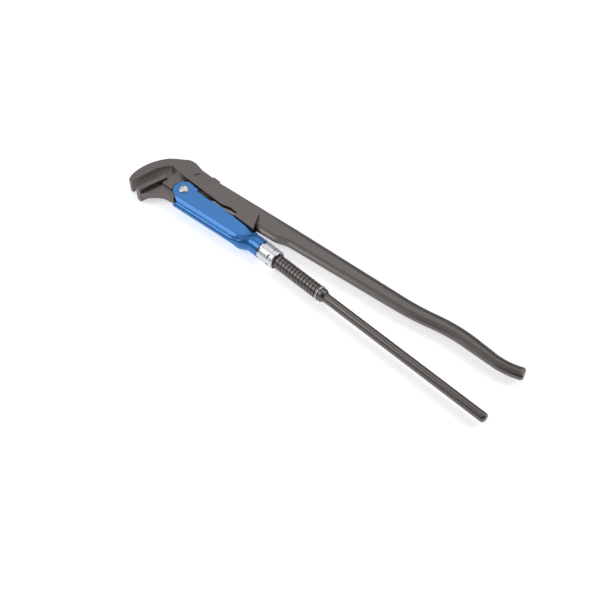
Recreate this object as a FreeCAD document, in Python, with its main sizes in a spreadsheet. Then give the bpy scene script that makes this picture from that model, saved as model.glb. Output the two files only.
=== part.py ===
"""Corner pipe wrench with a forked hook jaw, drawn in millimetres.

The design frame has the pivot rivet's axis at X = Y = 0 and the middle of the tool's thickness at Z = 0.
+X runs back along the threaded leg, the mouth opens at -X, and +Y is the side of the S-shaped handle.
Each finished part is then placed so that the whole tool lies on Z = 0 with its box centred in X and Y.
"""
import FreeCAD, Part
import os
import re
import Sketcher

doc = FreeCAD.newDocument("PipeWrench")
sizes = doc.addObject("Spreadsheet::Sheet", "Sizes")

DRIVING_SIZES = {
    # thicknesses across the tool, along Z
    "jaw_thick": 16.7, "hook_front_thick": 15.6, "arm_thick": 8.0, "arm_play": 0.35,
    "shank_play": 0.25, "sleeve_wall": 1.95,
    # the pivot rivet and the ears round it
    "rivet_radius": 3.5, "rivet_overhang": 1.8, "rivet_head_rise": 1.7, "eye_wall": 3.0,
    "ear_radius": 10.9,
    # clearances
    "running_gap": 0.05, "side_gap": 0.3, "sweep_gap": 0.5,
    # the lower leg: axis of its thread and rod, then stations along X
    "leg_axis": 3.3, "thread_radius": 7.0, "rod_radius": 4.6, "rod_nose": 2.5,
    "thread_start": 100.0, "thread_end": 189.0, "collar_length": 7.5, "rod_end": 384.8,
    "relief_end": 38.0, "neck_start": 78.0, "neck_play": 0.38,
    # the jaw faces, both tilted against the leg
    "face_low": -31.0, "jaw_low": -33.4, "hook_face_low": -44.4, "hook_face_high": -40.6,
    "hook_face_top": 0.3, "mouth_low": 9.6, "mouth_high": 12.0, "block_depth": 5.6,
    # the hook's outline
    "tip_width": 4.6, "hook_back_low": -52.0, "hump_high": 32.6, "back_front": 29.9, "back_rear": 30.9,
    "cheek_gap": 0.7, "cheek_rear_gap": 0.8, "window_front": -34.5, "window_end": 63.2,
    "window_high": 14.6, "hook_end": 90.3, "fork_start": -2.0,
    # the toothed block that ties the hook to the arm
    "seat_across": 8.5, "seat_high": 24.5, "seat_radius": 6.0, "ledge_width": 1.75, "rack_floor": 26.5,
    "tab_high": 34.7, "hook_travel": 50.0,
    # the sleeve
    "sleeve_low_front": -19.2, "sleeve_low_rear": -10.7, "channel_end": 93.0, "tube_start": 92.6,
    "tube_wall": 2.2, "tube_end": 111.0, "sleeve_top": 9.6, "ear_notch": 12.5, "channel_bend": 5.2,
    # the nut and its retaining ring
    "nut_wall": 1.0, "nut_length": 20.4, "spigot_wall": 0.8, "flange_rise": 0.6,
    "spigot_length": 5.0, "flange_length": 1.5, "ring_length": 1.2,
    "flute_radius": 2.0, "flute_depth": 0.5, "flute_start": 4.5, "flute_margin": 7.5,
    # the handle arm: lower and upper edge in front, then the S-bend's stations, rises and half widths
    "arm_low_front": 7.2, "arm_low_slope": 0.108, "arm_slope": 0.08, "arm_step": 111.5, "arm_high": 34.8,
    "grip_low": 24.4, "grip_start": 124.5, "grip_high": 34.5, "bend_start": 250.0, "bend_centre": 46.4,
    "swell_length": 36.0, "swell_rise": 6.4, "crest_length": 38.0, "crest_rise": 4.4,
    "dip_length": 26.0, "dip_fall": 0.3, "tail_length": 30.0, "tail_rise": 6.9,
    "half_at_bend": 8.0, "half_at_crest": 6.9, "half_at_tail": 5.9, "tail_bend": 66.0, "grip_bevel": 2.0,
    # the teeth of both jaws, and the ring pinned round the thread's rear end
    "tooth_depth": 0.8, "stop_length": 1.8, "stop_rise": 0.9,
}
for row, (name, size) in enumerate(DRIVING_SIZES.items(), start=1):
    sizes.set(f"A{row}", name)
    sizes.set(f"B{row}", str(size))
    sizes.setAlias(f"B{row}", name)
LAST_ROW = len(DRIVING_SIZES)
for row, name in enumerate(("shift_across", "shift_along"), start=LAST_ROW + 1):
    sizes.set(f"A{row}", name)
    sizes.set(f"B{row}", "0")
    sizes.setAlias(f"B{row}", name)
doc.recompute()

# sizes that follow from others
CHANNEL = "(arm_thick + arm_play * 2)"
SHANK = f"({CHANNEL} - shank_play * 2)"
SLEEVE_THICK = f"({CHANNEL} + sleeve_wall * 2)"
EYE = "(rivet_radius + eye_wall)"
RIVET_HEAD = "(rivet_radius + rivet_overhang)"
BORE = "(thread_radius + running_gap * 2)"
SPIGOT = f"({BORE} + spigot_wall)"
FLANGE = f"({SPIGOT} + flange_rise)"
NUT = f"({FLANGE} + running_gap * 2 + nut_wall)"
NECK = f"((thread_radius - neck_play)^2 - ({SHANK} / 2)^2)^0.5"
CHEEK_LOW = "(ear_radius + cheek_gap)"
CHEEK_REAR = "(sleeve_top + cheek_rear_gap)"
BLOCK_HALF = f"({CHANNEL} / 2 + ledge_width)"

SIZE_WORD = re.compile(r"[a-z][a-z_]{3,}")
FULL_TURN = 360
TOOTH_COUNT = 14
FLUTE_COUNT = 12


def bound(expression):
    """The expression with each size named as the sheet knows it."""
    return SIZE_WORD.sub(lambda word: "Sizes." + word.group(0), expression)


def number(expression):
    """What the expression comes to now, in millimetres."""
    return float(sizes.evalExpression(bound(expression)))


def tie(thing, **properties):
    """Bind properties of an object to expressions on the sheet."""
    for name, expression in properties.items():
        thing.setExpression(name.replace("__", "."), bound(expression))


def origin_plane(body, role):
    return [plane for plane in body.Origin.OriginFeatures if plane.Role == role][0]


def curve(start, end, radius):
    """A line, or an arc of the given radius that bulges to the right of its travel if radius > 0.

    It comes with the numbers of its start point and its end point."""
    if not radius:
        return Part.LineSegment(start, end), 1, 2
    chord = end - start
    half = chord.Length / 2
    across = FreeCAD.Vector(-chord.y, chord.x, 0) / chord.Length
    height = (radius ** 2 - half ** 2) ** 0.5
    side = 1 if radius > 0 else -1
    centre = (start + end) / 2 + across * height * side
    circle = Part.ArcOfCircle(Part.Circle(centre, FreeCAD.Vector(0, 0, 1), abs(radius)),
                              *sorted_angles(centre, start, end, radius))
    return (circle, 1, 2) if radius > 0 else (circle, 2, 1)


def sorted_angles(centre, start, end, radius):
    """The angles of an arc's two ends, in counter-clockwise order."""
    first, last = (start, end) if radius > 0 else (end, start)
    turn = FreeCAD.Vector(1, 0, 0)
    angles = []
    for point in (first, last):
        spoke = point - centre
        angle = turn.getAngle(spoke)
        angles.append(angle if spoke.y >= 0 else -angle)
    return angles


def outline(body, name, corners):
    """A closed sketch on the body's XY plane; a corner is (x, y) or (x, y, radius of the arc after it)."""
    sketch = body.newObject("Sketcher::SketchObject", name)
    sketch.AttachmentSupport = [(origin_plane(body, "XY_Plane"), "")]
    sketch.MapMode = "FlatFace"
    points = [FreeCAD.Vector(number(corner[0]), number(corner[1]), 0) for corner in corners]
    ends = []
    for index, corner in enumerate(corners):
        radius = number(corner[2]) if len(corner) == 3 else 0
        piece, first, last = curve(points[index], points[(index + 1) % len(points)], radius)
        ends.append((sketch.addGeometry(piece, False), first, last))
    for index, (piece, first, last) in enumerate(ends):
        following = ends[(index + 1) % len(ends)]
        sketch.addConstraint(Sketcher.Constraint("Coincident", piece, last, following[0], following[1]))
    for index, corner in enumerate(corners):
        piece, first, last = ends[index]
        for direction, expression, value in (("DistanceX", corner[0], points[index].x),
                                             ("DistanceY", corner[1], points[index].y)):
            label = f"{direction}_{index}"
            place = sketch.addConstraint(Sketcher.Constraint(direction, -1, 1, piece, first, value))
            sketch.renameConstraint(place, label)
            sketch.setExpression("Constraints." + label, bound(expression))
        if len(corner) == 3:
            bend = sketch.addConstraint(Sketcher.Constraint("Radius", piece, abs(number(corner[2]))))
            sketch.renameConstraint(bend, f"bend_{index}")
            sketch.setExpression(f"Constraints.bend_{index}", bound(corner[2].lstrip("-")))
    sketch.Visibility = False
    return sketch


def new_body(name):
    return doc.addObject("PartDesign::Body", name)


def plate(body, name, corners, thickness, cut=False):
    """A pad, or a pocket, of a closed outline, as deep each way from the middle of the tool."""
    sketch = outline(body, name + "_outline", corners)
    feature = body.newObject("PartDesign::Pocket" if cut else "PartDesign::Pad", name)
    feature.Profile = sketch
    feature.SideType = "Symmetric"
    feature.setExpression("Length", bound(thickness))
    doc.recompute()
    return feature


def rounded(body, name, corners, radius):
    """Round the body's Z-going edges at the given corners."""
    places = [(number(across), number(along)) for across, along in corners]
    tip = body.Tip
    wanted = []
    for index, edge in enumerate(tip.Shape.Edges, start=1):
        ends = [vertex.Point for vertex in edge.Vertexes]
        if len(ends) != 2 or abs(ends[0].z - ends[1].z) < 0.1:
            continue
        for across, along in places:
            if all(abs(end.x - across) < 0.02 and abs(end.y - along) < 0.02 for end in ends):
                wanted.append(f"Edge{index}")
    if not wanted:
        raise ValueError(f"{name}: no edge at {corners}")
    fillet = body.newObject("PartDesign::Fillet", name)
    fillet.Base = (tip, wanted)
    fillet.setExpression("Radius", bound(radius))
    doc.recompute()
    return fillet


def bevelled(body, name, start, depth):
    """Bevel the edges of both broad faces from the given station to the rear end."""
    tip = body.Tip
    level = max(vertex.Point.z for vertex in tip.Shape.Vertexes)
    wanted = []
    for index, edge in enumerate(tip.Shape.Edges, start=1):
        ends = [vertex.Point for vertex in edge.Vertexes]
        if all(abs(abs(end.z) - level) < 0.01 and end.x > number(start) - 0.01 for end in ends):
            wanted.append(f"Edge{index}")
    bevel = body.newObject("PartDesign::Chamfer", name)
    bevel.Base = (tip, wanted)
    bevel.setExpression("Size", bound(depth))
    doc.recompute()
    return bevel


def rod(name, start, length, radius, along="leg_axis"):
    """A cylinder lying along X."""
    cylinder = doc.addObject("Part::Cylinder", name)
    cylinder.Placement.Rotation = FreeCAD.Rotation(FreeCAD.Vector(0, 1, 0), 90)
    tie(cylinder, Radius=radius, Height=length, Placement__Base__x=start, Placement__Base__y=along)
    return cylinder


def taper(name, start, length, radius_front, radius_rear, along="leg_axis"):
    """A cone lying along X."""
    cone = doc.addObject("Part::Cone", name)
    cone.Placement.Rotation = FreeCAD.Rotation(FreeCAD.Vector(0, 1, 0), 90)
    tie(cone, Radius1=radius_front, Radius2=radius_rear, Height=length,
        Placement__Base__x=start, Placement__Base__y=along)
    return cone


def post(name, across, along, radius, height):
    """A cylinder standing along Z, as deep each way from the middle of the tool."""
    cylinder = doc.addObject("Part::Cylinder", name)
    tie(cylinder, Radius=radius, Height=height, Placement__Base__x=across, Placement__Base__y=along,
        Placement__Base__z=f"-({height}) / 2")
    return cylinder


def fused(name, *pieces):
    whole = doc.addObject("Part::MultiFuse", name)
    whole.Shapes = list(pieces)
    whole.Refine = True
    return whole


def cut(name, base, tool):
    left = doc.addObject("Part::Cut", name)
    left.Base = base
    left.Tool = tool
    left.Refine = True
    return left


def toothed_face(low, high, depth):
    """The corners of a serrated jaw face, from low to high: a notch and a crest for each tooth."""
    (low_across, low_along), (high_across, high_along) = low, high
    corners = []
    for step in range(TOOTH_COUNT * 2):
        share = step / (TOOTH_COUNT * 2)
        sunk = f" + {depth}" if step % 2 else ""
        corners.append((f"{low_across} + ({high_across} - ({low_across})) * {share:.4f}{sunk}",
                        f"{low_along} + ({high_along} - ({low_along})) * {share:.4f}"))
    return corners + [high]


def make_hook_jaw():
    """A serrated hook in front and, behind it, two flat cheeks that straddle the arm."""
    body = new_body("hook_forging")
    tip_back = ("hook_face_low - tip_width", "face_low + 0.4")
    tip_corner = ("hook_back_low", "face_low + 6")
    nape = ("hook_back_low + 9", "hump_high - 14.1")
    hump = ("hook_back_low + 28", "hump_high - 0.7")
    crown = ("hook_back_low + 34.5", "hump_high")
    back = ("-5", "back_front + 0.3")
    rear_top = ("hook_end - 12", "back_rear")
    teeth = toothed_face(("hook_face_low", "face_low"), ("hook_face_high", "hook_face_top"), "-tooth_depth")
    silhouette = [*teeth, ("window_front", f"{CHEEK_LOW} + 1.2"), ("window_front + 12", CHEEK_LOW),
                  ("window_end - 20", CHEEK_LOW), ("window_end - 10", "window_high"),
                  ("window_end", "window_high"), ("window_end", CHEEK_REAR),
                  ("hook_end", CHEEK_REAR), rear_top, back, crown,
                  (*hump, "72"), (*nape, "50"), tip_corner, tip_back]
    plate(body, "hook_plate", silhouette, "hook_front_thick")
    cheek = [("window_front + 1.5", f"{CHEEK_LOW} + 1.4"), ("window_front + 12", CHEEK_LOW),
             ("window_end - 20", CHEEK_LOW), ("window_end - 10", "window_high"),
             ("window_end", "window_high"), ("window_end", CHEEK_REAR),
             ("hook_end", CHEEK_REAR), rear_top, back, crown,
             ("hook_back_low + 28", "hump_high - 0.7", "14")]
    plate(body, "cheek_plates", cheek, "jaw_thick")
    rounded(body, "rear_corner", [rear_top], "5")
    rounded(body, "root_corner", [("window_front", f"{CHEEK_LOW} + 1.2")], "4")
    fork = [("fork_start", f"{CHEEK_REAR} - 5"), ("hook_end + 5", f"{CHEEK_REAR} - 5"),
            ("hook_end + 5", "hump_high + 5"), ("fork_start", "hump_high + 5")]
    plate(body, "fork_slot", fork, CHANNEL, cut=True)
    nose_room = [("fork_start - 9", f"{CHEEK_REAR} - 5"), ("fork_start + 1", f"{CHEEK_REAR} - 5"),
                 ("fork_start + 1", "rack_floor - 1"), ("fork_start - 9", "rack_floor - 4")]
    plate(body, "nose_room", nose_room, CHANNEL, cut=True)
    ledge = [("fork_start", "rack_floor"), ("seat_across + hook_travel + 12", "rack_floor"),
             ("seat_across + hook_travel + 12", "hump_high + 5"), ("fork_start", "hump_high + 5")]
    plate(body, "rack_ledge", ledge, f"({BLOCK_HALF} + side_gap) * 2", cut=True)
    return body


def make_handle_arm():
    """The flat front end that turns on the rivet, drawn out into the S-shaped handle."""
    body = new_body("arm_forging")
    low = "arm_low_front + arm_low_slope * "
    swell, crest = "bend_start + swell_length", "bend_start + swell_length + crest_length"
    dip = f"{crest} + dip_length"
    tail = f"{dip} + tail_length"
    swell_high = "bend_centre + swell_rise"
    crest_high = f"{swell_high} + crest_rise"
    dip_high = f"{crest_high} - dip_fall"
    tail_high = f"{dip_high} + tail_rise"
    side = [(EYE, "0.01"), (f"{EYE} + 1.6", low + "8 - 1.5"), ("20", low + "20"),
            ("arm_step", low + "arm_step"), ("grip_start", "grip_low"),
            ("bend_start", "bend_centre - half_at_bend", "240"),
            (swell, f"{swell_high} - half_at_bend + 0.4", "-150"),
            (crest, f"{crest_high} - half_at_crest"),
            (dip, f"{dip_high} - half_at_tail", "tail_bend + half_at_tail"),
            (f"{tail} + 2", f"{tail_high} - half_at_tail + 0.4"),
            (f"{tail} - 2.6", f"{tail_high} + half_at_tail - 0.4", "-(tail_bend - half_at_tail)"),
            (dip, f"{dip_high} + half_at_tail"),
            (crest, f"{crest_high} + half_at_crest", "162"),
            (swell, f"{swell_high} + half_at_bend - 0.4", "-230"),
            ("bend_start", "bend_centre + half_at_bend"),
            ("arm_step + 5", "grip_high + arm_slope * (arm_step + 5)"),
            ("seat_across + 10.6", "arm_high"), ("seat_across + 8", "seat_high + 1.7"),
            ("seat_across - 8.2", "seat_high + 1.7"), (f"-{EYE} + 0.6", "seat_high - 3"),
            (f"-{EYE}", "0.01", EYE), ("0.01", f"-{EYE}", EYE)]
    plate(body, "arm_plate", side, "arm_thick")
    bevelled(body, "arm_shoulders", "seat_across + 10.6", "grip_bevel")
    seat = post("block_seat", "seat_across", "seat_high", "seat_radius", "arm_thick * 2")
    hole = post("arm_rivet_hole", "0", "0", "rivet_radius + running_gap", "arm_thick * 2")
    return cut("arm_with_seat", body, fused("arm_cutters", seat, hole))


def make_lower_leg():
    """The toothed block, its flat shank, the threaded stem and the round rod handle, in one forging."""
    body = new_body("leg_flats")
    face_front = "hook_face_low + mouth_low"
    face_rear = "hook_face_high + mouth_high"
    teeth = toothed_face((face_front, "jaw_low"), (face_rear, "hook_face_top"), "tooth_depth")
    block = [*reversed(teeth), (face_front + " + block_depth", "jaw_low - 0.3"),
             (face_rear + " + block_depth", "hook_face_top - 2")]
    plate(body, "toothed_block", block, "jaw_thick")
    slope = "(sleeve_low_rear - sleeve_low_front) / channel_end"
    low_front = "sleeve_low_front + sleeve_wall + side_gap"
    relief = f"-({EYE} + side_gap)"
    shank = [(face_front + " + 2", "jaw_low + 0.4"),
             (face_front + " + block_depth + 2.5", "jaw_low + 0.6", "-40"),
             ("-12", low_front + " - 0.1"), ("0", low_front + " + 2.4"), ("9", low_front + " + 2.4"),
             ("20", f"{low_front} + {slope} * 20"),
             ("neck_start - 4", f"{low_front} + {slope} * (neck_start - 4)"),
             ("neck_start", f"leg_axis - {NECK}"), ("thread_start + 2", f"leg_axis - {NECK}"),
             ("thread_start + 2", f"leg_axis + {NECK}"), ("neck_start - 4", f"leg_axis + {NECK}"),
             ("relief_end + 8", f"leg_axis + {NECK} - 1"), ("relief_end", relief),
             ("-ear_radius - 0.6", relief), ("-ear_radius - 0.6", "leg_axis + 2.4"),
             (face_rear + " + block_depth", "leg_axis + 3.6"), (face_rear + " + 3", "hook_face_top - 1.4")]
    plate(body, "shank", shank, SHANK)
    boss = [(face_rear + " + block_depth - 0.2", "-9.2"), ("-ear_radius + 2", "-8.6"),
            ("-ear_radius + 2", "leg_axis + 4.2"), (face_rear + " + block_depth", "leg_axis + 4.4"),
            (face_rear + " + block_depth - 1.6", "leg_axis - 3")]
    plate(body, "neck_boss", boss, SLEEVE_THICK)
    ear_cut = post("ear_room", "0", "0", "ear_radius + sweep_gap", "jaw_thick * 2")
    shank_core = doc.addObject("Part::Box", "shank_core")
    tie(shank_core, Length="ear_radius * 2", Width="-(sleeve_low_front) + 8", Height=SHANK,
        Placement__Base__x="-ear_radius * 2", Placement__Base__y="sleeve_low_front - 2",
        Placement__Base__z=f"-{SHANK} / 2")
    ear_tool = cut("ear_tool", ear_cut, shank_core)
    flats = cut("flats_with_ear_room", body, ear_tool)
    stem = rod("threaded_stem", "thread_start", "thread_end - thread_start", "thread_radius")
    collar = rod("collar", "thread_end", "collar_length - 1.5", "thread_radius - 0.3")
    shoulder = taper("collar_shoulder", "thread_end + collar_length - 1.5", "1.5",
                     "thread_radius - 0.3", "rod_radius + 0.6")
    grip = rod("rod_grip", "thread_end + collar_length - 3",
               "rod_end - thread_end - collar_length + 3 - rod_nose", "rod_radius")
    nose = taper("rod_nose_end", "rod_end - rod_nose", "rod_nose", "rod_radius", "rod_radius - 1.8")
    return fused("leg_forging", flats, stem, collar, shoulder, grip, nose)


def make_sleeve():
    """A pressed channel with two ears in front, closed into a round tube behind."""
    body = new_body("channel")
    side = [("-ear_radius * 0.53", "-ear_radius * 0.848", "-ear_radius"),
            ("-ear_radius", "0.01", "-ear_radius"), ("0.01", "ear_radius"),
            ("ear_notch - 3", "ear_radius - 0.2"), ("ear_notch", "ear_radius - 4"),
            ("channel_end * 0.55", "sleeve_top"), ("channel_end + 4", "sleeve_top - 1.6"),
            ("channel_end + 4", "leg_axis - 6"), ("channel_end", "sleeve_low_rear"),
            ("3.6", "sleeve_low_front"), ("7.4", "sleeve_low_front + 3.4")]
    plate(body, "channel_block", side, SLEEVE_THICK)
    block = body.Tip
    bottom = []
    for index, edge in enumerate(block.Shape.Edges, start=1):
        ends = [vertex.Point for vertex in edge.Vertexes]
        if len(ends) == 2 and abs(ends[0].z - ends[1].z) < 0.1:
            if all(end.y < number("sleeve_low_rear") + 0.1 for end in ends) and edge.Length > 20:
                bottom.append(f"Edge{index}")
    bend = body.newObject("PartDesign::Fillet", "channel_bend")
    bend.Base = (block, bottom)
    bend.setExpression("Radius", bound("channel_bend"))
    doc.recompute()
    slope = "(sleeve_low_rear - sleeve_low_front) / channel_end"
    inside = [("-ear_radius - 5", "sleeve_low_front + sleeve_wall"), ("1", "sleeve_low_front + sleeve_wall"),
              ("tube_start", f"sleeve_low_front + sleeve_wall + {slope} * tube_start"),
              ("tube_start", "ear_radius * 2"), ("-ear_radius - 5", "ear_radius * 2")]
    plate(body, "channel_inside", inside, CHANNEL, cut=True)
    tube = rod("tube", "tube_start", "tube_end - tube_start", f"({BORE} + tube_wall)")
    spigot = rod("spigot", "tube_end", "spigot_length", SPIGOT)
    flange = rod("spigot_flange", "tube_end + spigot_length - flange_length", "flange_length", FLANGE)
    bore = rod("tube_bore", "tube_start - 8", "tube_end", "thread_radius + running_gap * 2")
    hole = post("sleeve_rivet_hole", "0", "0", "rivet_radius + running_gap", "jaw_thick * 2")
    shell = fused("sleeve_shell", body, tube, spigot, flange)
    return cut("sleeve_bored", shell, fused("sleeve_cutters", bore, hole))


def make_nut():
    """The fluted nut, with a skirt in front that takes the sleeve's flange and the retaining ring."""
    barrel = rod("nut_barrel", "tube_end + side_gap", "nut_length", NUT)
    bore = rod("nut_bore", "tube_end", "nut_length * 2", "thread_radius + running_gap")
    skirt = rod("nut_skirt_room", "tube_end", "spigot_length + side_gap",
                f"{FLANGE} + running_gap * 2")
    groove = rod("nut_ring_groove", "tube_end + 1.2", "ring_length", f"{FLANGE} + 0.5")
    tools = [bore, skirt, groove]
    for index in range(FLUTE_COUNT):
        turn = index * FULL_TURN / FLUTE_COUNT
        flute = rod(f"nut_flute_{index}", "tube_end + flute_start", "nut_length - flute_margin",
                    "flute_radius")
        out = f"({NUT} + flute_radius - flute_depth)"
        tie(flute, Placement__Base__y=f"leg_axis + {out} * cos({turn} deg)",
            Placement__Base__z=f"{out} * sin({turn} deg)")
        tools.append(flute)
    return cut("nut_cut", barrel, fused("nut_cutters", *tools))


def make_rivet():
    """The pivot rivet: a plain shank with a low domed head on each side."""
    body = new_body("rivet_turned")
    half = f"({CHANNEL} / 2 + sleeve_wall)"
    sketch = outline(body, "rivet_profile", [
        ("0", f"-({half} + rivet_head_rise)"), (f"{RIVET_HEAD} - 2", f"-({half} + rivet_head_rise)"),
        (RIVET_HEAD, f"-({half} + 0.3)"), (RIVET_HEAD, f"-{half}"),
        ("rivet_radius", f"-{half}"), ("rivet_radius", half), (RIVET_HEAD, half),
        (RIVET_HEAD, f"{half} + 0.3"), (f"{RIVET_HEAD} - 2", f"{half} + rivet_head_rise"),
        ("0", f"{half} + rivet_head_rise")])
    sketch.AttachmentSupport = [(origin_plane(body, "XZ_Plane"), "")]
    turned = body.newObject("PartDesign::Revolution", "rivet_solid")
    turned.Profile = sketch
    turned.ReferenceAxis = (sketch, ["V_Axis"])
    turned.Angle = FULL_TURN
    doc.recompute()
    return body


def make_block():
    """The rocking block: round heel in the arm's seat, shoulders on the rack ledge, tab on top."""
    heel = post("block_heel", "seat_across", "seat_high", "seat_radius - running_gap * 2", "arm_thick")
    body = new_body("block_head")
    plate(body, "block_shoulders", [("seat_across - 4", "rack_floor + side_gap"),
                                    ("seat_across + 5", "rack_floor + side_gap"),
                                    ("seat_across + 6", "back_front + 1.4"),
                                    ("seat_across - 4", "back_front + 1.4")], f"{BLOCK_HALF} * 2")
    plate(body, "block_tab", [("seat_across - 4", "seat_high + 3"), ("seat_across + 5", "seat_high + 3"),
                              ("seat_across + 7.5", "tab_high - 2.5"), ("seat_across + 7.5", "tab_high"),
                              ("seat_across - 1.5", "tab_high")], "arm_thick")
    return fused("block_whole", heel, body)


def make_ring(name, start, length, inner, outer):
    disc = rod(name + "_disc", start, length, outer)
    hole = rod(name + "_hole", start + " - 1", length + " + 2", inner)
    return cut(name, disc, hole)


NODES = {
    "hook_jaw": make_hook_jaw(),
    "handle_arm": make_handle_arm(),
    "lower_leg": make_lower_leg(),
    "sleeve": make_sleeve(),
    "adjusting_nut": make_nut(),
    "pivot_rivet": make_rivet(),
    "rocking_block": make_block(),
    "nut_retaining_ring": make_ring("ring_cut", "tube_end + 1.3", "ring_length - 0.2",
                                    f"{SPIGOT} + running_gap * 2", f"{FLANGE} + 0.4"),
    "stop_ring": make_ring("stop_ring_cut", "thread_end - 1", "stop_length", "thread_radius",
                           "thread_radius + stop_rise"),
}
for node, part in NODES.items():
    part.Label = node
doc.recompute()
boxes = [part.Shape.optimalBoundingBox() for part in NODES.values()]
middle_across = (min(box.XMin for box in boxes) + max(box.XMax for box in boxes)) / 2
middle_along = (min(box.YMin for box in boxes) + max(box.YMax for box in boxes)) / 2
sizes.set(f"B{LAST_ROW + 1}", str(-middle_across))
sizes.set(f"B{LAST_ROW + 2}", str(-middle_along))
for part in NODES.values():
    tie(part, Placement__Base__x="shift_across", Placement__Base__y="shift_along",
        Placement__Base__z=NUT)
doc.recompute()

for thing in doc.Objects:
    if "Invalid" in thing.State or "Error" in thing.State:
        raise ValueError(f"{thing.Name}: {thing.State}")
os.makedirs("parts", exist_ok=True)
for node, part in NODES.items():
    shape = part.Shape
    if shape.isNull() or not shape.isValid():
        raise ValueError(f"{node}: no valid shape")
    box = shape.optimalBoundingBox()
    print(f"{node:20s} volume {shape.Volume:9.1f}  x {box.XMin:7.2f} {box.XMax:7.2f}  "
          f"y {box.YMin:7.2f} {box.YMax:7.2f}  z {box.ZMin:6.2f} {box.ZMax:6.2f}")
    shape.exportStep(f"parts/{node}.step")
print("shift", -middle_across, -middle_along)
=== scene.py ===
"""Corner pipe wrench: the finished surfaces, built on the frame of its moving parts."""
from math import cos, pi, radians, sin, tau

import bpy
from bpy.props import FloatProperty, FloatVectorProperty, IntProperty, PointerProperty
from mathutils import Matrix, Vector


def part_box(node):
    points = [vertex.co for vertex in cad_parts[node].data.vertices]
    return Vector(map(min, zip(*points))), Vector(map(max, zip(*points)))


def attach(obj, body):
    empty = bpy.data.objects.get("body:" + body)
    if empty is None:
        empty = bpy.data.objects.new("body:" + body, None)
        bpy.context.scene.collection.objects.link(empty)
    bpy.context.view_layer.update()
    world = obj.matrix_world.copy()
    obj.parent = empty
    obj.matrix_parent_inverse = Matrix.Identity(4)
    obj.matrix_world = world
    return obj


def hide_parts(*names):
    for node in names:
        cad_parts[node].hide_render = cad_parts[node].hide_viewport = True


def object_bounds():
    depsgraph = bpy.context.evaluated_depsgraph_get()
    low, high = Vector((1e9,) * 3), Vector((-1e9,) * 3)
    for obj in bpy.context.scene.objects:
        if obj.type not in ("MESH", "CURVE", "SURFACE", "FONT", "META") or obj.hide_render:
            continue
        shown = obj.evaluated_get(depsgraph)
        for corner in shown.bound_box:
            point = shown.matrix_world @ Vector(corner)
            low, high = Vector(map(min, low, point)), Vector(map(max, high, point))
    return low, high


bl_info = {
    "name": "Corner pipe wrench",
    "version": (1, 0, 0),
    "blender": (4, 5, 0),
    "location": "View3D > Sidebar > Wrench",
    "description": "Builds the forgings, sleeve, nut, rivet and finishes of a corner pipe wrench",
    "category": "Add Mesh",
}

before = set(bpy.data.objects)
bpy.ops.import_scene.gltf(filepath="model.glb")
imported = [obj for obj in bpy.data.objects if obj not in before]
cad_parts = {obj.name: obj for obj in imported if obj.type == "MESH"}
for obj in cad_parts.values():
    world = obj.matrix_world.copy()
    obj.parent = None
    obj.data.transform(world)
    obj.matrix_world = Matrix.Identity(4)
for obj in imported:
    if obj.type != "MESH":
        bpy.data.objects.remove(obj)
SOLID_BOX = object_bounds()


def low(node):
    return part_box(node)[0]


def high(node):
    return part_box(node)[1]


PIVOT = (low("pivot_rivet") + high("pivot_rivet")) / 2
AXIS = (low("stop_ring") + high("stop_ring")) / 2
LEG_LINE = AXIS.y - PIVOT.y
THROUGH = 0.012     # half the depth of a cutter that passes right through the tool


def length(name, default, description):
    return FloatProperty(name=name, description=description, default=default, unit="LENGTH", precision=5)


def colour(name, default, description):
    return FloatVectorProperty(name=name, description=description, default=default, subtype="COLOR",
                               size=3, min=0.0, max=1.0)


class WrenchSizes(bpy.types.PropertyGroup):
    """Sizes of the worked details, on top of the frame's own sizes."""
    forging_edge: length("Forging edge", 0.0009, "Radius of the forgings' softened edges")
    shoulder_edge: length("Handle shoulder", 0.0014, "Radius that rounds the handle's bevelled shoulders")
    crown_width: length("Crown width", 0.0030, "How far in the handle's broad faces start to fall")
    crown_fall: length("Crown fall", 0.0009, "How far the handle's broad faces fall at their rims")
    sheet_edge: length("Sheet edge", 0.0004, "Radius of the sleeve's cut edges")
    sheet_wall: length("Sheet wall", 0.00195, "Thickness of the sleeve's sheet")
    groove_radius: length("Groove radius", 0.0009, "Radius of the groove engraved in the hook's cheek")
    thread_pitch: length("Thread pitch", 0.004, "Distance from crest to crest of the leg's thread")
    thread_depth: length("Thread depth", 0.0009, "Depth of the thread under its crest")
    nut_chamfer: length("Nut chamfer", 0.0009, "Chamfer at the nut's two rims")
    pocket_width: length("Pocket width", 0.0052, "Width of each grip pocket round the nut")
    pocket_length: length("Pocket length", 0.0024, "Length of each grip pocket along the nut")
    pocket_depth: length("Pocket depth", 0.0016, "Depth of each grip pocket")
    dimple_radius: length("Rivet dimple", 0.0022, "Radius of the dimple in the rivet's head")
    pocket_count: IntProperty(name="Pockets", description="Grip pockets round each end of the nut",
                              default=6, min=3)


class WrenchFinishes(bpy.types.PropertyGroup):
    """Colours of the finishes."""
    forging: colour("Forging", (0.088, 0.082, 0.076), "Phosphated forged steel")
    forging_dark: colour("Forging, dark", (0.048, 0.043, 0.039), "Forged steel where the scale is thick")
    bare: colour("Bare steel", (0.16, 0.148, 0.136), "Steel rubbed bare along the edges")
    blue: colour("Blue paint", (0.004, 0.120, 0.310), "Gloss paint of the sleeve")
    blue_light: colour("Blue paint, light", (0.007, 0.145, 0.355), "Gloss paint where it is thin")
    nickel: colour("Bright steel", (0.40, 0.405, 0.40), "Plated nut, rivet and ring")
    spring: colour("Spring steel", (0.10, 0.10, 0.11), "Blackened retaining ring")


def sizes():
    return bpy.context.scene.wrench_sizes


def finishes():
    return bpy.context.scene.wrench_finishes


# ---------------------------------------------------------------- working by hand

def deselect():
    if bpy.context.object and bpy.context.object.mode != "OBJECT":
        bpy.ops.object.mode_set(mode="OBJECT")
    bpy.ops.object.select_all(action="DESELECT")


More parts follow.
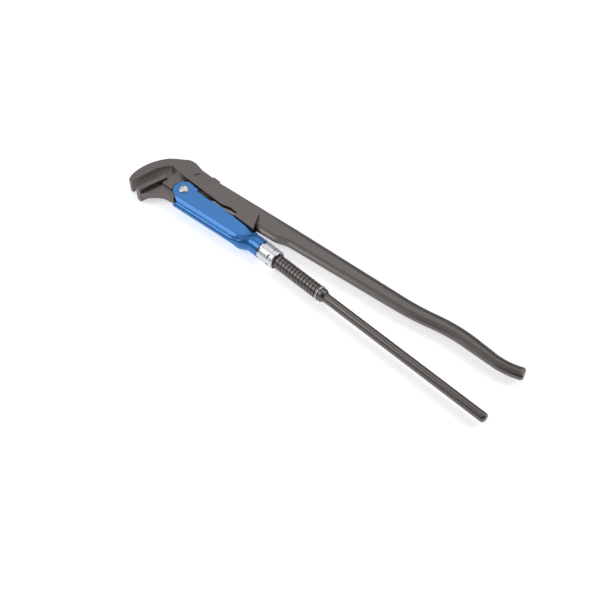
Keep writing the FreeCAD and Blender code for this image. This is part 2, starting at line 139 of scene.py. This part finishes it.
def choose(piece):
    deselect()
    piece.select_set(True)
    bpy.context.view_layer.objects.active = piece


def edit(piece, kind="VERT"):
    choose(piece)
    bpy.ops.object.mode_set(mode="EDIT")
    bpy.ops.mesh.select_mode(type=kind)


def leave():
    bpy.ops.object.mode_set(mode="OBJECT")
    return bpy.context.object


def apply(piece, modifier):
    choose(piece)
    bpy.ops.object.modifier_apply(modifier=modifier.name)


def place(piece):
    choose(piece)
    bpy.ops.object.transform_apply(location=True, rotation=True, scale=True)


def tidy_mesh(piece, reach=1e-6):
    """Merge doubles and turn every face outwards."""
    edit(piece)
    bpy.ops.mesh.select_all(action="SELECT")
    bpy.ops.mesh.remove_doubles(threshold=reach)
    bpy.ops.mesh.normals_make_consistent(inside=False)
    leave()


def copy_of(node, name):
    """A copy of a frame part whose triangles are merged into whole faces."""
    piece = bpy.data.objects.new(name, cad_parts[node].data.copy())
    bpy.context.scene.collection.objects.link(piece)
    piece.data.materials.clear()
    edit(piece)
    bpy.ops.mesh.customdata_custom_splitnormals_clear()
    bpy.ops.mesh.select_all(action="SELECT")
    bpy.ops.mesh.remove_doubles(threshold=2e-6)
    bpy.ops.mesh.dissolve_limited(angle_limit=radians(0.4))
    leave()
    return piece


def bevelled(piece, width, segments=3, angle=35):
    modifier = piece.modifiers.new("soft edges", "BEVEL")
    modifier.width = width
    modifier.segments = segments
    modifier.limit_method = "ANGLE"
    modifier.angle_limit = radians(angle)
    modifier.miter_outer = "MITER_ARC"
    apply(piece, modifier)


def combined(piece, tool, operation):
    """Cut the piece with the tool, or keep what they share; the tool is used up."""
    modifier = piece.modifiers.new("cut", "BOOLEAN")
    modifier.operation = operation
    modifier.solver = "EXACT"
    modifier.object = tool
    apply(piece, modifier)
    bpy.data.objects.remove(tool)


def joined(pieces, name):
    deselect()
    for piece in pieces:
        piece.select_set(True)
    bpy.context.view_layer.objects.active = pieces[0]
    bpy.ops.object.join()
    whole = bpy.context.object
    whole.name = name
    return whole


def turned(name, stations, closed=False, corners=72):
    """A lathe-turned piece along Z: a circle extruded and scaled through (height, radius) stations."""
    deselect()
    height, radius = stations[0]
    bpy.ops.mesh.primitive_circle_add(vertices=corners, radius=radius, fill_type="NOTHING",
                                      location=(0, 0, height))
    piece = bpy.context.object
    place(piece)
    piece.name = name
    edit(piece)
    bpy.ops.mesh.select_all(action="SELECT")
    if not closed:
        bpy.ops.mesh.edge_face_add()
    for next_height, next_radius in stations[1:]:
        bpy.ops.mesh.extrude_region_move(TRANSFORM_OT_translate={"value": (0, 0, next_height - height)})
        share = next_radius / radius
        bpy.ops.transform.resize(value=(share, share, 1), center_override=(0, 0, next_height))
        height, radius = next_height, next_radius
    leave()
    tidy_mesh(piece)
    return piece


def laid_along_leg(piece, start):
    """Turn a piece made along Z so that it lies along the leg, with its height 0 at the given X."""
    piece.rotation_euler = (0, pi / 2, 0)
    piece.location = (start, AXIS.y, AXIS.z)
    place(piece)
    return piece


def prism(name, outline, bottom, top):
    """A block of an outline given in metres from the pivot, between two levels."""
    deselect()
    bpy.ops.mesh.primitive_circle_add(vertices=len(outline), radius=0.01, fill_type="NGON")
    piece = bpy.context.object
    piece.name = name
    for vertex, (across, along) in zip(piece.data.vertices, outline):
        vertex.co = (PIVOT.x + across, PIVOT.y + along, PIVOT.z + bottom)
    edit(piece)
    bpy.ops.mesh.select_all(action="SELECT")
    bpy.ops.mesh.extrude_region_move(TRANSFORM_OT_translate={"value": (0, 0, top - bottom)})
    leave()
    tidy_mesh(piece)
    return piece


def arc(centre, radius, start, end, count):
    """Points on an arc, its angles in degrees."""
    angles = [radians(start + (end - start) * step / count) for step in range(count + 1)]
    return [(centre[0] + radius * cos(angle), centre[1] + radius * sin(angle)) for angle in angles]


def finished(piece, body, material, replaces=(), smooth=32):
    """Smooth, paint and hang a piece on its body."""
    choose(piece)
    bpy.ops.object.shade_smooth_by_angle(angle=radians(smooth))
    flats = piece.modifiers.new("flat faces", "WEIGHTED_NORMAL")
    flats.keep_sharp = True
    flats.weight = 100
    apply(piece, flats)
    piece.data.materials.clear()
    piece.data.materials.append(material)
    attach(piece, body)
    if replaces:
        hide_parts(*replaces)
    return piece


# ---------------------------------------------------------------- finishes

class Finish:
    """A node material, built up one node at a time."""

    def __init__(self, name):
        self.material = bpy.data.materials.new(name)
        self.material.use_nodes = True
        self.tree = self.material.node_tree
        self.shader = self.tree.nodes["Principled BSDF"]
        self.place = self.add("ShaderNodeTexCoord").outputs["Object"]

    def add(self, kind, **settings):
        node = self.tree.nodes.new(kind)
        for setting, value in settings.items():
            setattr(node, setting, value)
        return node

    def link(self, source, socket):
        self.tree.links.new(source, socket)

    def grain(self, scale, detail=5.0, roughness=0.6, stretch=None):
        """A noise value; stretch squeezes it along the three axes."""
        noise = self.add("ShaderNodeTexNoise")
        noise.inputs["Scale"].default_value = scale
        noise.inputs["Detail"].default_value = detail
        noise.inputs["Roughness"].default_value = roughness
        if stretch:
            mapping = self.add("ShaderNodeMapping")
            mapping.inputs["Scale"].default_value = stretch
            self.link(self.place, mapping.inputs["Vector"])
            self.link(mapping.outputs["Vector"], noise.inputs["Vector"])
        else:
            self.link(self.place, noise.inputs["Vector"])
        return noise.outputs["Fac"]

    def spread(self, value, low_in, high_in, low_out=0.0, high_out=1.0):
        """The value moved from one range to another and kept inside it."""
        node = self.add("ShaderNodeMapRange")
        self.link(value, node.inputs["Value"])
        for socket, number in (("From Min", low_in), ("From Max", high_in),
                               ("To Min", low_out), ("To Max", high_out)):
            node.inputs[socket].default_value = number
        return node.outputs["Result"]

    def maths(self, operation, first, second):
        node = self.add("ShaderNodeMath", operation=operation)
        for socket, value in zip(node.inputs, (first, second)):
            if isinstance(value, (int, float)):
                socket.default_value = value
            else:
                self.link(value, socket)
        return node.outputs["Value"]

    def mixed(self, share, first, second):
        """A colour between two others."""
        node = self.add("ShaderNodeMix", data_type="RGBA")
        self.link(share, node.inputs["Factor"])
        colours = [socket for socket in node.inputs if socket.type == "RGBA"]
        for socket, value in zip(colours, (first, second)):
            if isinstance(value, bpy.types.NodeSocket):
                self.link(value, socket)
            else:
                socket.default_value = (*value, 1.0)
        return [socket for socket in node.outputs if socket.type == "RGBA"][0]

    def edges(self, start, end):
        """How far the surface is a worn convex edge."""
        geometry = self.add("ShaderNodeNewGeometry")
        return self.spread(geometry.outputs["Pointiness"], start, end)

    def relief(self, height, strength, distance):
        bump = self.add("ShaderNodeBump")
        bump.inputs["Strength"].default_value = strength
        bump.inputs["Distance"].default_value = distance
        self.link(height, bump.inputs["Height"])
        self.link(bump.outputs["Normal"], self.shader.inputs["Normal"])


def forged_steel():
    """Phosphated drop-forged steel: warm grey-brown, fine grain, rubbed edges."""
    finish = Finish("forged_steel")
    blotches = finish.grain(70.0, 4.0, 0.55)
    fine = finish.grain(1400.0, 3.0, 0.7)
    shade = finish.maths("ADD", finish.spread(blotches, 0.35, 0.68, 0.15, 0.7),
                         finish.spread(fine, 0.3, 0.7, -0.1, 0.3))
    tone = finish.mixed(shade, finishes().forging_dark, finishes().forging)
    rubbed = finish.maths("MULTIPLY", finish.edges(0.52, 0.60),
                          finish.spread(finish.grain(240.0), 0.42, 0.66, 0.0, 0.55))
    finish.link(finish.mixed(rubbed, tone, finishes().bare), finish.shader.inputs["Base Color"])
    finish.shader.inputs["Metallic"].default_value = 0.9
    finish.link(finish.spread(blotches, 0.3, 0.7, 0.48, 0.38), finish.shader.inputs["Roughness"])
    pits = finish.maths("MULTIPLY", finish.grain(320.0, 2.0), 2.0)
    finish.relief(finish.maths("ADD", fine, pits), 0.35, 0.00006)
    return finish.material


def blue_paint():
    """Gloss paint over pressed sheet: slightly uneven film, thin on the edges."""
    finish = Finish("blue_paint")
    film = finish.grain(90.0, 3.0, 0.5)
    tone = finish.mixed(finish.spread(film, 0.3, 0.7, 0.0, 0.8), finishes().blue, finishes().blue_light)
    chips = finish.maths("MULTIPLY", finish.edges(0.56, 0.62), finish.spread(finish.grain(500.0), 0.60, 0.66))
    finish.link(finish.mixed(chips, tone, finishes().forging_dark), finish.shader.inputs["Base Color"])
    finish.shader.inputs["Metallic"].default_value = 0.0
    finish.link(finish.spread(film, 0.3, 0.7, 0.30, 0.38), finish.shader.inputs["Roughness"])
    finish.shader.inputs["Specular IOR Level"].default_value = 0.3
    finish.shader.inputs["Coat Weight"].default_value = 0.12
    finish.shader.inputs["Coat Roughness"].default_value = 0.12
    finish.relief(finish.grain(700.0, 2.0), 0.12, 0.00004)
    return finish.material


def bright_steel():
    """Turned and plated steel: fine rings round the leg's axis, satin."""
    finish = Finish("bright_steel")
    rings = finish.grain(300.0, 3.0, 0.6, stretch=(14.0, 0.4, 0.4))
    cloud = finish.grain(160.0, 4.0)
    tone = finish.mixed(finish.spread(cloud, 0.3, 0.7), [0.78 * c for c in finishes().nickel], finishes().nickel)
    finish.link(tone, finish.shader.inputs["Base Color"])
    finish.shader.inputs["Metallic"].default_value = 0.9
    finish.link(finish.spread(rings, 0.3, 0.7, 0.26, 0.40), finish.shader.inputs["Roughness"])
    finish.relief(rings, 0.2, 0.00002)
    return finish.material


def spring_steel():
    """Blackened spring wire."""
    finish = Finish("spring_steel")
    cloud = finish.grain(260.0, 4.0)
    tone = finish.mixed(finish.spread(cloud, 0.3, 0.7), [0.6 * c for c in finishes().spring], finishes().spring)
    finish.link(tone, finish.shader.inputs["Base Color"])
    finish.shader.inputs["Metallic"].default_value = 0.8
    finish.link(finish.spread(cloud, 0.3, 0.7, 0.30, 0.45), finish.shader.inputs["Roughness"])
    finish.relief(finish.grain(1200.0), 0.2, 0.00003)
    return finish.material


def material(name):
    makers = {"forged_steel": forged_steel, "blue_paint": blue_paint, "bright_steel": bright_steel,
              "spring_steel": spring_steel}
    return bpy.data.materials.get(name) or makers[name]()


# ---------------------------------------------------------------- pieces

class WRENCH_OT_hook_jaw(bpy.types.Operator):
    """Serrated hook with its two cheeks and the engraved groove"""
    bl_idname = "wrench.hook_jaw"
    bl_label = "Hook jaw"

    def execute(self, context):
        hook = copy_of("hook_jaw", "hook_jaw_forging")
        combined(hook, self.groove(), "DIFFERENCE")
        bevelled(hook, sizes().forging_edge / 2, 3, 40)
        finished(hook, "hook", material("forged_steel"), ["hook_jaw"])
        return {"FINISHED"}

    def groove(self):
        """The groove's cutter: a rod bent at its front end, lying on the upper cheek."""
        face = high("hook_jaw").z
        line = 0.0249
        bend = 0.0052
        front, rear, tail = -0.0058, 0.0634, 0.0008
        turn = arc((front + bend, line - bend), bend, 180, 90, 6)
        path = [(front, line - bend - tail)] + turn + [(rear, line)]
        curve = bpy.data.curves.new("groove", "CURVE")
        curve.dimensions = "3D"
        curve.bevel_depth = sizes().groove_radius
        curve.bevel_resolution = 3
        curve.use_fill_caps = True
        spline = curve.splines.new("POLY")
        spline.points.add(len(path) - 1)
        for point, (across, along) in zip(spline.points, path):
            point.co = (PIVOT.x + across, PIVOT.y + along, face, 1.0)
        rod = bpy.data.objects.new("groove", curve)
        bpy.context.scene.collection.objects.link(rod)
        choose(rod)
        bpy.ops.object.convert(target="MESH")
        tidy_mesh(bpy.context.object)
        return bpy.context.object


class WRENCH_OT_handle_arm(bpy.types.Operator):
    """Flat arm drawn out into the S-shaped handle"""
    bl_idname = "wrench.handle_arm"
    bl_label = "Handle arm"

    def execute(self, context):
        arm = copy_of("handle_arm", "handle_arm_forging")
        self.crown(arm)
        bevelled(arm, sizes().shoulder_edge, 4, 12)
        finished(arm, "arm", material("forged_steel"), ["handle_arm"], smooth=40)
        return {"FINISHED"}

    def crown(self, arm):
        """Draw in the two broad faces behind the hook's cheeks and sink their rims, so the grip is crowned."""
        start = PIVOT.x + 0.030
        touch = 1e-5
        edit(arm)
        bpy.ops.mesh.select_all(action="SELECT")
        bpy.ops.mesh.bisect(plane_co=(start, 0, 0), plane_no=(1, 0, 0))
        leave()
        for level, sink in ((high("handle_arm").z, -1), (low("handle_arm").z, 1)):
            edit(arm, "FACE")
            bpy.ops.mesh.select_all(action="DESELECT")
            leave()
            for face in arm.data.polygons:
                face.select = abs(face.center.z - level) < touch and face.center.x > start
            edit(arm, "FACE")
            bpy.ops.mesh.inset(thickness=sizes().crown_width, use_boundary=True)
            leave()
            kept = {index for face in arm.data.polygons if face.select for index in face.vertices}
            edit(arm)
            bpy.ops.mesh.select_all(action="DESELECT")
            leave()
            for vertex in arm.data.vertices:
                on_rim = abs(vertex.co.z - level) < touch and vertex.index not in kept
                vertex.select = on_rim and vertex.co.x > start + 10 * touch
            edit(arm)
            bpy.ops.transform.translate(value=(0, 0, sink * sizes().crown_fall))
            leave()


class WRENCH_OT_lower_leg(bpy.types.Operator):
    """Toothed lower jaw and flat shank, threaded stem, collar and rod handle"""
    bl_idname = "wrench.lower_leg"
    bl_label = "Lower leg"
    SHANK_END = 0.0995
    THREAD_START = 0.1090
    NECK_RADIUS = 0.0053
    OVERLAP = 0.0006

    def execute(self, context):
        flats = copy_of("lower_leg", "lower_jaw_forging")
        edit(flats)
        bpy.ops.mesh.select_all(action="SELECT")
        cut_line = PIVOT.x + self.SHANK_END
        bpy.ops.mesh.bisect(plane_co=(cut_line, 0, 0), plane_no=(1, 0, 0), use_fill=True, clear_outer=True)
        leave()
        combined(flats, self.fold_room(), "DIFFERENCE")
        bevelled(flats, sizes().forging_edge / 2, 3, 40)
        finished(flats, "leg", material("forged_steel"), ["lower_leg"])
        thread_line = PIVOT.x + self.THREAD_START
        neck_end = thread_line - cut_line + self.OVERLAP / 2
        neck = turned("plain_neck", [(-self.OVERLAP, self.NECK_RADIUS), (neck_end, self.NECK_RADIUS)])
        stem = joined([self.thread(thread_line), laid_along_leg(neck, cut_line)], "threaded_stem")
        finished(stem, "leg", material("forged_steel"))
        finished(self.rod(), "leg", material("forged_steel"))
        return {"FINISHED"}

    def fold_room(self):
        """The cutter that clears the shank's lower edge out of the sleeve's fold."""
        front, rear, below = 0.0004, 0.0800, -0.0300
        return prism("fold_room", [(front, below), (rear, below), (rear, -0.0046), (front, -0.0118)],
                     -THROUGH, THROUGH)

    def thread(self, start):
        """The trapezoidal thread, as one profile wound along the leg and cut square at both ends."""
        crest = 0.0070
        pitch = sizes().thread_pitch
        root = crest - sizes().thread_depth
        end = AXIS.x
        lead = 0.0008
        turns = int((end - start) / pitch) + 3
        deselect()
        bpy.ops.mesh.primitive_circle_add(vertices=5, radius=0.01, fill_type="NOTHING")
        stem = bpy.context.object
        stem.name = "threaded_stem"
        profile = [(root, 0.0), (root, 0.24), (crest, 0.38), (crest, 0.86), (root, 1.0)]
        for vertex, (radius, share) in zip(stem.data.vertices, profile):
            vertex.co = (radius, 0, share * pitch)
        edit(stem, "EDGE")
        bpy.ops.mesh.select_all(action="DESELECT")
        leave()
        closing = [edge for edge in stem.data.edges if set(edge.vertices) == {0, 4}]
        closing[0].select = True
        edit(stem, "EDGE")
        bpy.ops.mesh.delete(type="EDGE_FACE")
        leave()
        winding = stem.modifiers.new("thread", "SCREW")
        winding.angle = tau
        winding.screw_offset = pitch
        winding.iterations = turns
        winding.steps = 48
        winding.render_steps = 48
        winding.use_merge_vertices = True
        winding.merge_threshold = 1e-6
        apply(stem, winding)
        stem = laid_along_leg(stem, start - 1.5 * pitch)
        tidy_mesh(stem, 2e-6)
        for edge_line, direction in ((start - lead, -1), (end, 1)):
            edit(stem)
            bpy.ops.mesh.select_all(action="SELECT")
            bpy.ops.mesh.bisect(plane_co=(edge_line, 0, 0), plane_no=(direction, 0, 0), use_fill=True,
                                clear_outer=True)
            leave()
        tidy_mesh(stem, 2e-6)
        return stem

    def rod(self):
        """The collar behind the stop ring and the plain round handle, turned in one."""
        start = AXIS.x - self.OVERLAP
        end = high("lower_leg").x
        grip = 0.0046
        collar = 0.0067
        span = end - start
        nose_length, nose_fall = 0.0028, 0.0030
        nose = [(span - nose_length + nose_length * sin(angle), grip - nose_fall * (1 - cos(angle)))
                for angle in [radians(step * 15) for step in range(7)]]
        stations = [(0.0, collar), (0.0046, collar), (0.0062, grip + 0.0010), (0.0074, grip + 0.0003),
                    (0.0090, grip), (0.06, grip), (0.12, grip), *nose, (span, 0.0003)]
        return laid_along_leg(turned("rod_handle", stations, corners=64), start)


class WRENCH_OT_sleeve(bpy.types.Operator):
    """Pressed sleeve: a deep channel with two ears, rolled into a tube behind"""
    bl_idname = "wrench.sleeve"
    bl_label = "Sleeve"
    CHEEK_FACE = 0.0063
    FOLD_FACE = 0.00405
    FRONT_EDGE = -0.0192
    EDGE_SLOPE = 0.0914
    LIP = 0.0130
    BEND_RISE = 0.0090
    LIP_SHARE, SIDE_SHARE, HALF = 0.14, 0.36, 0.5

    def execute(self, context):
        sheet = self.bent_sheet()
        wall = sheet.modifiers.new("wall", "SOLIDIFY")
        wall.thickness = sizes().sheet_wall
        wall.offset = 0.0
        apply(sheet, wall)
        tidy_mesh(sheet, 1e-7)
        combined(sheet, self.side_view(), "INTERSECT")
        bevelled(sheet, sizes().sheet_edge, 2, 50)
        finished(sheet, "sleeve", material("blue_paint"), ["sleeve"], smooth=38)
        tube_end = PIVOT.x + self.tube_end
        reach = high("sleeve").x - tube_end
        flange, outside, bore = 0.0085, 0.0078, 0.0073
        inset, flange_start = -0.004, reach - 0.0015
        spigot = turned("sleeve_spigot", [(inset, outside), (flange_start, outside), (flange_start, flange),
                                          (reach, flange), (reach, bore), (inset, bore), (inset, outside)],
                        closed=True)
        finished(laid_along_leg(spigot, tube_end), "sleeve", material("bright_steel"))
        return {"FINISHED"}

    @property
    def tube_end(self):
        clearance = 0.0003
        return low("adjusting_nut").x - clearance - PIVOT.x

    def bent_sheet(self):
        """The middle of the sheet: a grid whose lines run along the sleeve and round its section."""
        rows, columns = 100, 100
        deselect()
        bpy.ops.mesh.primitive_grid_add(x_subdivisions=rows, y_subdivisions=columns, size=2)
        sheet = bpy.context.object
        sheet.name = "sleeve_pressing"
        start, end = -0.0135, self.tube_end
        for vertex in sheet.data.vertices:
            across = start + (end - start) * (vertex.co.x + 1) / 2
            along, level = self.section(across, (vertex.co.y + 1) / 2)
            vertex.co = (PIVOT.x + across, PIVOT.y + along, PIVOT.z + level)
        tidy_mesh(sheet, 1e-8)
        return sheet

    def section(self, across, share):
        """Where the sheet's middle lies at a station: a channel that narrows to a fold, then a ring."""
        half_wall = sizes().sheet_wall / 2
        ring = high("sleeve").z - PIVOT.z - half_wall
        cheek = self.CHEEK_FACE - half_wall
        fold = self.FOLD_FACE - half_wall
        low_edge = self.FRONT_EDGE + self.EDGE_SLOPE * across
        centre, bend_top = low_edge + self.FOLD_FACE, low_edge + self.BEND_RISE
        side, half = (1, share) if share <= self.HALF else (-1, 1 - share)
        beyond = (half - self.SIDE_SHARE) / (self.HALF - self.SIDE_SHARE)
        if half < self.LIP_SHARE:
            along, level = self.LIP + (bend_top - self.LIP) * half / self.LIP_SHARE, cheek
        elif half < self.SIDE_SHARE:
            down = (half - self.LIP_SHARE) / (self.SIDE_SHARE - self.LIP_SHARE)
            along = bend_top + (centre - bend_top) * down
            level = fold + (cheek - fold) * smooth_step(along, low_edge + 0.0045, low_edge + 0.0084)
        else:
            angle = pi / 2 * beyond
            along, level = centre - fold * sin(angle), fold * cos(angle)
        seam = 0.03
        if half < self.SIDE_SHARE:
            turn = seam + (pi / 2 - seam) * half / self.SIDE_SHARE
        else:
            turn = pi / 2 + pi / 2 * beyond
        width_share = smooth_step(across, 0.076, 0.104)
        depth_share = smooth_step(across, 0.0885, 0.1005)
        level += (ring * sin(turn) - level) * width_share
        along += (LEG_LINE + ring * cos(turn) - along) * depth_share
        return along, side * level

    def side_view(self):
        """The sleeve's outline from the side, as deep as the tool."""
        ear = 0.0109
        front = [(0.0037, -0.0190), (0.0074, -0.0158)]
        ear_arc = arc((0, 0), ear, 238, 62, 32)
        notch = [(0.0096, 0.0107), (0.0125, 0.0069)]
        top = [(0.0510, 0.0096), (0.0915, 0.0092), (0.0930, 0.0140), (0.1300, 0.0140), (0.1300, -0.0250),
               (0.0037, -0.0250)]
        return prism("sleeve_outline", front + ear_arc + notch + top, -THROUGH, THROUGH)


def smooth_step(value, start, end):
    share = min(max((value - start) / (end - start), 0.0), 1.0)
    return share * share * (3 - 2 * share)


class WRENCH_OT_adjusting_nut(bpy.types.Operator):
    """Adjusting nut with grip pockets round both ends, its retaining ring and the stop ring"""
    bl_idname = "wrench.adjusting_nut"
    bl_label = "Adjusting nut"

    def execute(self, context):
        reach = high("adjusting_nut").x - low("adjusting_nut").x
        outer = (high("adjusting_nut").z - low("adjusting_nut").z) / 2
        chamfer = sizes().nut_chamfer
        bore, skirt, mouth = 0.00708, 0.0086, 0.0083
        skirt_depth, mouth_depth, lead_depth = 0.0054, 0.0028, 0.0034
        stations = [(0, outer - chamfer), (chamfer, outer), (reach - chamfer, outer),
                    (reach, outer - chamfer), (reach, mouth), (reach - mouth_depth, mouth),
                    (reach - lead_depth, bore), (skirt_depth, bore), (skirt_depth, skirt), (0, skirt),
                    (0, outer - chamfer)]
        nut = laid_along_leg(turned("adjusting_nut_turned", stations, closed=True, corners=96),
                             low("adjusting_nut").x)
        combined(nut, self.pockets(outer), "DIFFERENCE")
        bevelled(nut, 0.00025, 2, 40)
        finished(nut, "nut", material("bright_steel"), ["adjusting_nut"])
        half_width, edge, seat = 0.0005, 0.0003, 0.0066
        rim = (high("stop_ring").z - low("stop_ring").z) / 2
        ring = turned("stop_ring_turned",
                      [(-half_width, seat), (-half_width, rim - edge), (-half_width + edge, rim),
                       (half_width - edge, rim), (half_width, rim - edge), (half_width, seat),
                       (-half_width, seat)], closed=True)
        finished(laid_along_leg(ring, AXIS.x), "leg", material("bright_steel"), ["stop_ring"])
        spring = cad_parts["nut_retaining_ring"]
        spring.data.materials.clear()
        spring.data.materials.append(material("spring_steel"))
        return {"FINISHED"}

    def pockets(self, outer):
        """Cutters for the two rows of pockets, modelled once and copied round the nut."""
        tools = []
        width, depth = sizes().pocket_width, sizes().pocket_depth
        front, rear = 0.0016, 0.0146
        cutter_height = 0.004
        for index in range(sizes().pocket_count):
            turn = radians(45) + tau * index / sizes().pocket_count
            for station in (front, rear):
                deselect()
                out = outer - depth + cutter_height / 2
                middle = (low("adjusting_nut").x + station, AXIS.y - out * cos(turn), AXIS.z + out * sin(turn))
                bpy.ops.mesh.primitive_cube_add(size=1, location=middle, rotation=(pi / 2 - turn, 0, 0),
                                                scale=(sizes().pocket_length, width, cutter_height))
                tool = bpy.context.object
                place(tool)
                tools.append(tool)
        return joined(tools, "pocket_cutters")


class WRENCH_OT_pivot_rivet(bpy.types.Operator):
    """Pivot rivet with domed, dimpled heads"""
    bl_idname = "wrench.pivot_rivet"
    bl_label = "Pivot rivet"

    def execute(self, context):
        top = high("pivot_rivet").z - PIVOT.z
        head = (high("pivot_rivet").x - low("pivot_rivet").x) / 2
        seat = top - 0.0017
        shank = 0.0035
        dimple = sizes().dimple_radius
        upper = [(seat, head)] + [(seat + (top - seat) * sin(angle), dimple + (head - dimple) * cos(angle))
                                  for angle in [radians(step * 9) for step in range(11)]]
        upper += [(top - 0.0003, dimple - 0.0004), (top - 0.0008, dimple - 0.0009), (top - 0.0009, 0.0002)]
        lower = [(-height, radius) for height, radius in reversed(upper)]
        rivet = turned("pivot_rivet_turned", lower + [(-seat, shank), (seat, shank)] + upper)
        rivet.location = PIVOT
        place(rivet)
        finished(rivet, "sleeve", material("bright_steel"), ["pivot_rivet"])
        return {"FINISHED"}


class WRENCH_OT_rocking_block(bpy.types.Operator):
    """Rocking block between the arm and the hook, with its thumb tab"""
    bl_idname = "wrench.rocking_block"
    bl_label = "Rocking block"

    def execute(self, context):
        block = copy_of("rocking_block", "rocking_block_forging")
        bevelled(block, sizes().forging_edge / 2, 3, 40)
        finished(block, "block", material("forged_steel"), ["rocking_block"])
        return {"FINISHED"}


class WRENCH_OT_stage(bpy.types.Operator):
    """Pale floor, soft light and the camera"""
    bl_idname = "wrench.stage"
    bl_label = "Stage"

    def execute(self, context):
        self.floor()
        self.lights()
        self.camera(context)
        return {"FINISHED"}

    def floor(self):
        deselect()
        bpy.ops.mesh.primitive_plane_add(size=12, location=(0, 0, SOLID_BOX[0].z))
        ground = bpy.context.object
        ground.name = "floor"
        finish = Finish("pale_floor")
        tone = finish.mixed(finish.grain(3.0), (0.86, 0.87, 0.88), (0.88, 0.88, 0.89))
        finish.link(tone, finish.shader.inputs["Base Color"])
        finish.shader.inputs["Roughness"].default_value = 0.7
        finish.shader.inputs["Emission Color"].default_value = (0.97, 0.98, 1.0, 1.0)
        finish.shader.inputs["Emission Strength"].default_value = 0.60
        ground.data.materials.append(finish.material)

    def lights(self):
        """A light tent, brightest high up behind the tool and dim elsewhere, and two soft lamps."""
        world = bpy.data.worlds.new("light_tent")
        bpy.context.scene.world = world
        world.use_nodes = True
        tree = world.node_tree
        background = tree.nodes["Background"]
        background.inputs["Color"].default_value = (0.96, 0.98, 1.0, 1.0)
        facing = tree.nodes.new("ShaderNodeVectorMath")
        facing.operation = "DOT_PRODUCT"
        facing.inputs[1].default_value = (-0.406, 0.406, 0.819)
        tree.links.new(tree.nodes.new("ShaderNodeTexCoord").outputs["Generated"], facing.inputs[0])
        lit = facing.outputs["Value"]
        for operation, value in (("MAXIMUM", 0.0), ("POWER", 12.0), ("MULTIPLY", 1.7), ("ADD", 0.08)):
            step = tree.nodes.new("ShaderNodeMath")
            step.operation = operation
            step.inputs[1].default_value = value
            tree.links.new(lit, step.inputs[0])
            lit = step.outputs["Value"]
        tree.links.new(lit, background.inputs["Strength"])
        for name, place_at, wide, tall, power in (("left_softbox", (-0.75, -0.75, 1.05), 0.8, 0.8, 7.0),
                                                  ("right_softbox", (0.95, 0.95, 1.05), 0.8, 0.8, 8.0)):
            deselect()
            bpy.ops.object.light_add(type="AREA", location=place_at)
            lamp = bpy.context.object
            lamp.name = name
            lamp.data.shape = "RECTANGLE"
            lamp.data.size = wide
            lamp.data.size_y = tall
            lamp.data.energy = power
            lamp.rotation_euler = (-Vector(place_at)).to_track_quat("-Z", "Y").to_euler()

    def camera(self, context):
        azimuth, elevation, distance = radians(45.06), radians(50.49), 0.9712
        lens = 62.95
        back = Vector((sin(azimuth) * cos(elevation), -cos(azimuth) * cos(elevation), sin(elevation)))
        aim = PIVOT + Vector((0.18106, -0.01562, 0))
        deselect()
        bpy.ops.object.camera_add(location=aim + back * distance)
        camera = bpy.context.object
        camera.data.lens = lens
        camera.rotation_euler = (-back).to_track_quat("-Z", "Y").to_euler()
        context.scene.camera = camera
        context.scene.view_settings.view_transform = "Standard"


class WRENCH_PT_panel(bpy.types.Panel):
    """The wrench's pieces, in building order"""
    bl_idname = "WRENCH_PT_panel"
    bl_label = "Corner pipe wrench"
    bl_space_type = "VIEW_3D"
    bl_region_type = "UI"
    bl_category = "Wrench"

    def draw(self, context):
        for operator in OPERATORS:
            self.layout.operator(operator.bl_idname)
        for group in (context.scene.wrench_sizes, context.scene.wrench_finishes):
            box = self.layout.box()
            for name in group.__annotations__:
                box.prop(group, name)


OPERATORS = (WRENCH_OT_hook_jaw, WRENCH_OT_handle_arm, WRENCH_OT_lower_leg, WRENCH_OT_sleeve,
             WRENCH_OT_adjusting_nut, WRENCH_OT_pivot_rivet, WRENCH_OT_rocking_block, WRENCH_OT_stage)
CLASSES = (WrenchSizes, WrenchFinishes, *OPERATORS, WRENCH_PT_panel)


def register():
    for kind in CLASSES:
        bpy.utils.register_class(kind)
    bpy.types.Scene.wrench_sizes = PointerProperty(type=WrenchSizes)
    bpy.types.Scene.wrench_finishes = PointerProperty(type=WrenchFinishes)


def unregister():
    del bpy.types.Scene.wrench_finishes
    del bpy.types.Scene.wrench_sizes
    for kind in reversed(CLASSES):
        bpy.utils.unregister_class(kind)


def main():
    register()
    for operator in OPERATORS:
        getattr(bpy.ops.wrench, operator.bl_idname.split(".")[1])()


if __name__ == "__main__":
    main()
